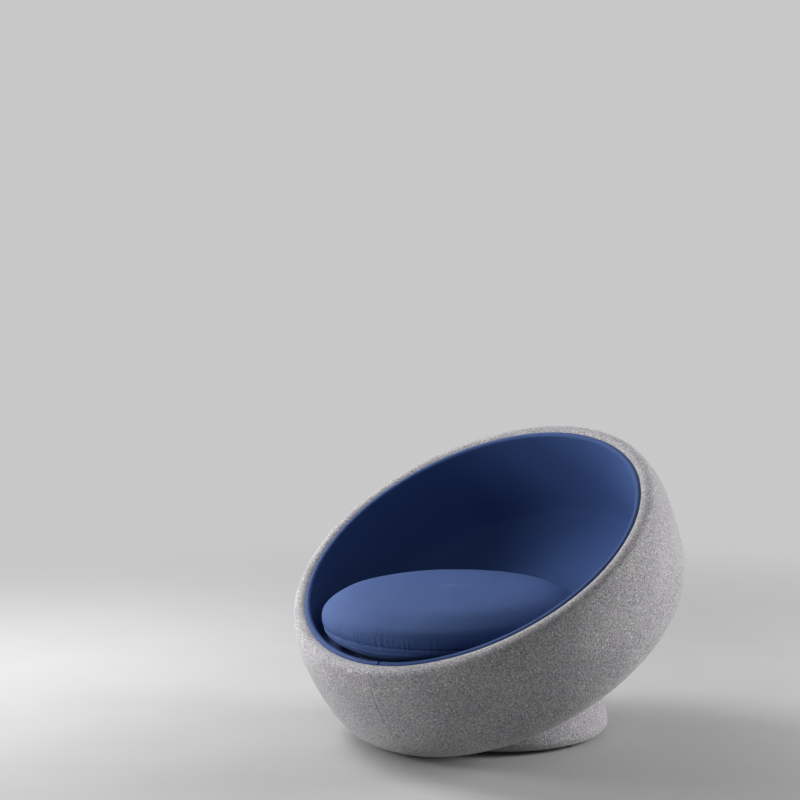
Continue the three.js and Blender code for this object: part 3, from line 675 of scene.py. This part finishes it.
def plinth_felt():
    """The felt round the plinth, which stops just under the bowl as the solid does."""

    def offset(points, angles, radius):
        seam = seam_offset(angles, PLINTH_SEAM, radius, PLINTH_SEAM_DEPTH)
        return unevenness(points, PLINTH_UNEVENNESS) + seam

    angles = ring_angles(PLINTH_SIDES, (PLINTH_SEAM,), PLINTH_RADIUS)
    points, faces, cut = revolved(plinth_line(), angles, FELT_THICKNESS, offset)
    placed = points + PLINTH_PLACE
    placed[:, 2] = np.minimum(placed[:, 2], bowl_underside(placed) - TOUCH_GAP * 2)
    piece = mesh_piece("plinth_felt", placed, faces, cut)
    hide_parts("plinth_felt_cover", "plinth_foam")
    dress(piece, "felt")


# The cushion. Its section is a squared oval, on which angles run from 90 at the top to -90.
CUSHION_POLE = 89.5
CUSHION_SIDES = 640
RINGS_ABOVE, RINGS_BESIDE, RINGS_BELOW = 70, 64, 40
ABOVE_SEAM, BESIDE_SEAM, BELOW_SEAM = 5, (4.8, -20), 20.5

# Its filling: a coarser and slightly smaller cushion, swollen by a cloth simulation
STUFFING_SHRINK = 0.005
STUFFING_RINGS, STUFFING_SIDES = 80, 160
STUFFING_VOXEL = 0.008
STUFFING_PRESSURE = 4
STUFFING_FRAMES = 20
STUFFING_CAP = 0.009
STUFFING_SMOOTHING = 6
STUFFING_REACH = 0.03
STUFFING_WAVES = 7
STUFFING_SOFTENING = 10

# Its sewing. Waves round the cushion are a count and a phase in radians.
SIDE_FROM, SIDE_FADE = 0.26, 0.012
SEAM_SWAY, SEAM_SWAY_WAVE = 0.0015, (3, 0.6)
VALLEY_WIDTHS, VALLEY_DEPTH = (0.0020, 0.011), 0.0035
GATHER_DEPTH, GATHERS_ABOVE, GATHERS_BELOW = 0.0017, 0.018, 0.008
GATHER_COUNT, GATHER_DRIFT, GATHER_DRIFT_WAVE = 140, 2.2, (13, 0)
GATHER_STRENGTH, GATHER_VARIATION, GATHER_STRENGTH_WAVE = 0.6, 0.4, (29, 1)
FOLD_DEPTH, FOLD_DROP, FOLD_BAND, FOLD_PITCH = 0.0015, 0.018, 0.012, 0.0019
FOLD_WANDER, FOLD_WANDER_WAVE, FOLD_STRENGTH_WAVE = 0.002, (9, 0), (5, 0.8)
ZIP_DEPTH, ZIP_HALF_WIDTH, ZIP_HALF_LENGTH, ZIP_FADE = 0.0055, 0.009, 0.197, 0.002


def cushion_angle(height):
    """The angle of the cushion's section at a height from its middle."""
    share = abs(height / CUSHION_HALF) ** (CUSHION_POWER / 2)
    return math.copysign(math.degrees(math.asin(share)), height)


def ringed(around, reach, height):
    """A point for each ring's reach and height, along each of the directions around."""
    flat = around[None] * reach[:, None, None]
    level = np.repeat(height[:, None, None], len(around), 1)
    return np.concatenate([flat, level], axis=2).reshape(-1, 3)


def cushion_grid(shrink, angles, sides):
    """Points, outward directions, faces and cut of the cushion's plain form about its middle."""
    turn = np.linspace(0, 2 * math.pi, sides, endpoint=False)
    around = np.c_[np.sin(turn), -np.cos(turn)]
    power = 2 / CUSHION_POWER
    across = np.abs(np.cos(np.radians(angles)))
    up = np.sin(np.radians(angles))
    reach = (CUSHION_RADIUS - shrink) * across ** power
    height = (CUSHION_HALF - shrink) * np.sign(up) * np.abs(up) ** power
    out = across ** (2 - power) / CUSHION_RADIUS
    rise = np.sign(up) * np.abs(up) ** (2 - power) / CUSHION_HALF
    length = np.hypot(out, rise)
    points = ringed(around, reach, height)
    ways = ringed(around, out / length, rise / length)
    grid = np.arange(len(points)).reshape(-1, sides)
    beside = np.roll(grid, -1, axis=1)
    quads = np.stack([grid[:-1], grid[1:], beside[1:], beside[:-1]], axis=-1).reshape(-1, 4)
    faces = quads.tolist() + [grid[0, ::-1].tolist(), grid[-1].tolist()]
    run = np.r_[0, np.cumsum(np.hypot(np.diff(reach), np.diff(height)))]
    seam = int(np.argmin(np.abs(height - CUSHION_SEAM)))
    drawn = np.where(np.arange(len(angles)) <= seam, run, run[-1] - run)
    cut = (around[None] * drawn[:, None, None]).reshape(-1, 2)
    return points, ways, faces, cut


def apply_modifiers(piece):
    """Makes the piece's modifiers part of its mesh."""
    evaluated = piece.evaluated_get(bpy.context.evaluated_depsgraph_get())
    shaped = bpy.data.meshes.new_from_object(evaluated)
    piece.modifiers.clear()
    piece.data = shaped


def vertex_places(mesh):
    flat = np.zeros(len(mesh.vertices) * 3)
    mesh.vertices.foreach_get("co", flat)
    return flat.reshape(-1, 3)


def stuffed():
    """The cushion filled by a cloth simulation, with a cap on its swelling, as a search tree."""
    angles = np.linspace(CUSHION_POLE, -CUSHION_POLE, STUFFING_RINGS)
    points, _, faces, _ = cushion_grid(STUFFING_SHRINK, angles, STUFFING_SIDES)
    mesh = bpy.data.meshes.new("stuffing")
    mesh.from_pydata(points.tolist(), [], faces)
    piece = linked("stuffing", mesh)
    remesh = piece.modifiers.new("even mesh", "REMESH")
    remesh.mode = "VOXEL"
    remesh.voxel_size = STUFFING_VOXEL
    apply_modifiers(piece)
    before = vertex_places(piece.data)
    cloth = piece.modifiers.new("stuffing", "CLOTH")
    cloth.settings.use_pressure = True
    cloth.settings.uniform_pressure_force = STUFFING_PRESSURE
    cloth.settings.effector_weights.gravity = 0
    for step in range(1, STUFFING_FRAMES + 1):
        bpy.context.scene.frame_set(step)
    apply_modifiers(piece)
    bpy.context.scene.frame_set(1)
    moved = vertex_places(piece.data) - before
    length = np.linalg.norm(moved, axis=1, keepdims=True)
    after = before + moved * np.minimum(1, STUFFING_CAP / np.maximum(length, 1e-9))
    piece.data.vertices.foreach_set("co", after.ravel())
    smooth = piece.modifiers.new("smooth", "SMOOTH")
    smooth.iterations = STUFFING_SMOOTHING
    apply_modifiers(piece)
    faces = [tuple(polygon.vertices) for polygon in piece.data.polygons]
    tree = BVHTree.FromPolygons([Vector(p) for p in vertex_places(piece.data)], faces)
    bpy.data.objects.remove(piece)
    return tree


def swollen(points, ways, sides):
    """Each point moved along its way onto the filled cushion, without the filling's small dents."""
    tree = stuffed()
    swell = np.zeros(len(points))
    for number, (point, way) in enumerate(zip(points, ways)):
        start = Vector(point - way * STUFFING_REACH)
        distance = tree.ray_cast(start, Vector(way), 2 * STUFFING_REACH)[3]
        swell[number] = 0 if distance is None else distance - STUFFING_REACH
    waves = np.fft.rfft(swell.reshape(-1, sides), axis=1)
    waves[:, STUFFING_WAVES:] = 0
    swell = np.fft.irfft(waves, sides, axis=1)
    for _ in range(STUFFING_SOFTENING):
        swell[1:-1] = (swell[:-2] + 2 * swell[1:-1] + swell[2:]) / 4
    moved = points + ways * swell.reshape(-1, 1)
    moved[:, :2] *= CUSHION_RADIUS / np.hypot(moved[:, 0], moved[:, 1]).max()
    return moved


def sewn(points, ways):
    """Draws in the seam low round the side, with its gathers and creases and the zip's slit."""
    radius = np.hypot(points[:, 0], points[:, 1])
    turn = np.arctan2(points[:, 0], -points[:, 1])

    def wave(count, phase):
        return np.sin(turn * count + phase)

    rise = points[:, 2] - CUSHION_SEAM - SEAM_SWAY * wave(*SEAM_SWAY_WAVE)
    valley = sum(bell(rise, width) * VALLEY_DEPTH for width in VALLEY_WIDTHS)

    gathering = np.sin(turn * GATHER_COUNT + GATHER_DRIFT * wave(*GATHER_DRIFT_WAVE))
    strength = GATHER_STRENGTH + GATHER_VARIATION * wave(*GATHER_STRENGTH_WAVE)
    fading = np.exp(-np.abs(rise) / np.where(rise > 0, GATHERS_ABOVE, GATHERS_BELOW))
    gathers = GATHER_DEPTH * fading * (gathering * strength)

    wander = FOLD_WANDER * wave(*FOLD_WANDER_WAVE)
    folding = np.sin((rise + wander) / FOLD_PITCH)
    folds = FOLD_DEPTH * bell(rise + FOLD_DROP, FOLD_BAND) * folding
    folds *= 0.5 + 0.5 * wave(*FOLD_STRENGTH_WAVE)

    slit = bell(points[:, 2] - ZIP_HEIGHT, ZIP_HALF_WIDTH, 4)
    between_ends = fade_in(-np.abs(points[:, 0]), -ZIP_HALF_LENGTH, ZIP_FADE)
    zipped = ZIP_DEPTH * slit * between_ends * (points[:, 1] > 0)

    on_side = fade_in(radius, SIDE_FROM, SIDE_FADE)
    inward = on_side * (valley - gathers - folds + zipped)
    outward = unevenness(points, CUSHION_UNEVENNESS) - inward
    return points + ways * outward[:, None]


def seat_cushion():
    """The loose cushion, flat only where it rests on the deck."""
    seam = cushion_angle(CUSHION_SEAM)
    angles = np.concatenate([
        np.linspace(CUSHION_POLE, seam + ABOVE_SEAM, RINGS_ABOVE),
        seam + np.linspace(*BESIDE_SEAM, RINGS_BESIDE),
        np.linspace(seam - BELOW_SEAM, -CUSHION_POLE, RINGS_BELOW),
    ])
    points, ways, faces, cut = cushion_grid(0, angles, CUSHION_SIDES)
    points = swollen(points, ways, CUSHION_SIDES)
    points = sewn(points, ways)
    points[:, 2] += CUSHION_HALF - CUSHION_REST + TOUCH_GAP
    points[:, 2] = smooth_above(points[:, 2], TOUCH_GAP, CUSHION_FLAT_BLEND)
    piece = mesh_piece("seat_cushion", seat_to_chair(points), faces, cut, body="cushion")
    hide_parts("cushion_cover", "cushion_core")
    dress(piece, "blue_cloth")


# Floor, light and camera
BACKDROP = (0.58, 0.58, 0.585, 1)
FLOOR_SIZE = 40
FLOOR_DARK, FLOOR_PALE = (0.40, 0.40, 0.40), (0.42, 0.42, 0.42)
FLOOR_ROUGHNESS = 0.85
FLOOR_FADE = (0.9, 3.4)
DAYLIGHT = (0.98, 0.99, 1.0, 1)
DAYLIGHT_STRENGTH = 0.10

# Each lamp's name, azimuth, elevation, distance, size and power in watts
LAMPS = (
    ("key", -75, 42, 3.6, 1.4, 98),
    ("low key", -75, 15, 3.6, 1.4, 48),
    ("front", -45, 12, 3.6, 1.4, 86),
    ("back", 140, 15, 3.6, 1.4, 118),
    ("fill", 85, 38, 4.2, 2.0, 20),
)

# The camera's place is from the floor under the bowl's middle. Its lens and sensor are in mm.
CAMERA_PLACE = (4.278, -4.333, 1.614)
CAMERA_HEADING = (-0.729, 0.6845)
CAMERA_DIP = math.radians(6.254)
CAMERA_LENS = 99
CAMERA_SENSOR = 36


def seen_directly(tree):
    """1 for what the camera, a gloss or a clear piece shows, 0 for what only lights the chair."""
    path = tree.nodes.new("ShaderNodeLightPath")
    first = tree.nodes.new("ShaderNodeMath")
    both = tree.nodes.new("ShaderNodeMath")
    first.operation = both.operation = "MAXIMUM"
    tree.links.new(path.outputs["Is Camera Ray"], first.inputs[0])
    tree.links.new(path.outputs["Is Glossy Ray"], first.inputs[1])
    tree.links.new(first.outputs[0], both.inputs[0])
    tree.links.new(path.outputs["Is Transmission Ray"], both.inputs[1])
    return both.outputs[0]


def blended(tree, factor, first, second, output):
    """Two shaders mixed by a factor into an output node."""
    blend = tree.nodes.new("ShaderNodeMixShader")
    tree.links.new(factor, blend.inputs[0])
    tree.links.new(first.outputs[0], blend.inputs[1])
    tree.links.new(second.outputs[0], blend.inputs[2])
    tree.links.new(blend.outputs[0], output.inputs[0])


def floor():
    """A pale floor that fades into the backdrop's colour away from the chair."""
    n = Nodes("pale floor")
    tree = n.tree
    speckle = n.noise(3, 3.0, 0.5)
    n.finish(n.ramp(speckle, (0.3, FLOOR_DARK), (0.7, FLOOR_PALE)), FLOOR_ROUGHNESS)
    distance = tree.nodes.new("ShaderNodeVectorMath")
    distance.operation = "LENGTH"
    tree.links.new(n.place.outputs["Object"], distance.inputs[0])
    fade = tree.nodes.new("ShaderNodeMapRange")
    fade.interpolation_type = "SMOOTHSTEP"
    fade.inputs["From Min"].default_value, fade.inputs["From Max"].default_value = FLOOR_FADE
    tree.links.new(distance.outputs["Value"], fade.inputs["Value"])
    glow = tree.nodes.new("ShaderNodeEmission")
    glow.inputs[0].default_value = BACKDROP
    far = n.math("MULTIPLY", fade.outputs[0], seen_directly(tree))
    blended(tree, far, n.shader, glow, n.output)
    mesh = bpy.data.meshes.new("floor")
    corners = [(x * FLOOR_SIZE, y * FLOOR_SIZE, 0) for x, y in ((-1, -1), (1, -1), (1, 1), (-1, 1))]
    mesh.from_pydata(corners, [], [(0, 1, 2, 3)])
    mesh.materials.append(n.material)
    piece = linked("floor", mesh)


def studio():
    """The floor, and a world whose soft light is not the backdrop that the camera sees."""
    floor()
    world = bpy.data.worlds.new("studio")
    bpy.context.scene.world = world
    world.use_nodes = True
    tree = world.node_tree
    tree.nodes.clear()
    soft = tree.nodes.new("ShaderNodeBackground")
    soft.inputs[0].default_value = DAYLIGHT
    soft.inputs[1].default_value = DAYLIGHT_STRENGTH
    seen = tree.nodes.new("ShaderNodeBackground")
    seen.inputs[0].default_value = BACKDROP
    output = tree.nodes.new("ShaderNodeOutputWorld")
    blended(tree, seen_directly(tree), soft, seen, output)


def lamp(name, azimuth, elevation, distance, size, power):
    """A square soft light round the chair: azimuth 0 is in front, 90 towards +X."""
    data = bpy.data.lights.new(name, "AREA")
    data.shape = "SQUARE"
    data.size = size
    data.energy = power
    light = linked(name, data)
    a, e = math.radians(azimuth), math.radians(elevation)
    way = Vector((math.sin(a) * math.cos(e), -math.cos(a) * math.cos(e), math.sin(e)))
    light.location = Vector((0, 0, BOWL_HEIGHT)) + way * distance
    light.rotation_euler = (-way).to_track_quat("-Z", "Y").to_euler()


def camera():
    """The photograph's camera."""
    data = bpy.data.cameras.new("camera")
    data.lens = CAMERA_LENS
    data.sensor_width = CAMERA_SENSOR
    seen = linked("camera", data)
    x, y, z = CAMERA_PLACE
    seen.location = (x, y + FOOTPRINT_SHIFT, z)
    hx, hy = CAMERA_HEADING
    length = math.hypot(hx, hy)
    level = math.cos(CAMERA_DIP)
    way = Vector((hx / length * level, hy / length * level, -math.sin(CAMERA_DIP)))
    seen.rotation_euler = way.to_track_quat("-Z", "Y").to_euler()
    bpy.context.scene.camera = seen


bpy.context.scene.view_settings.view_transform = "Standard"
camera()
studio()
for row in LAMPS:
    lamp(*row)
dress_solids()
bowl_felt()
liner_cloth()
plinth_felt()
seat_cushion()
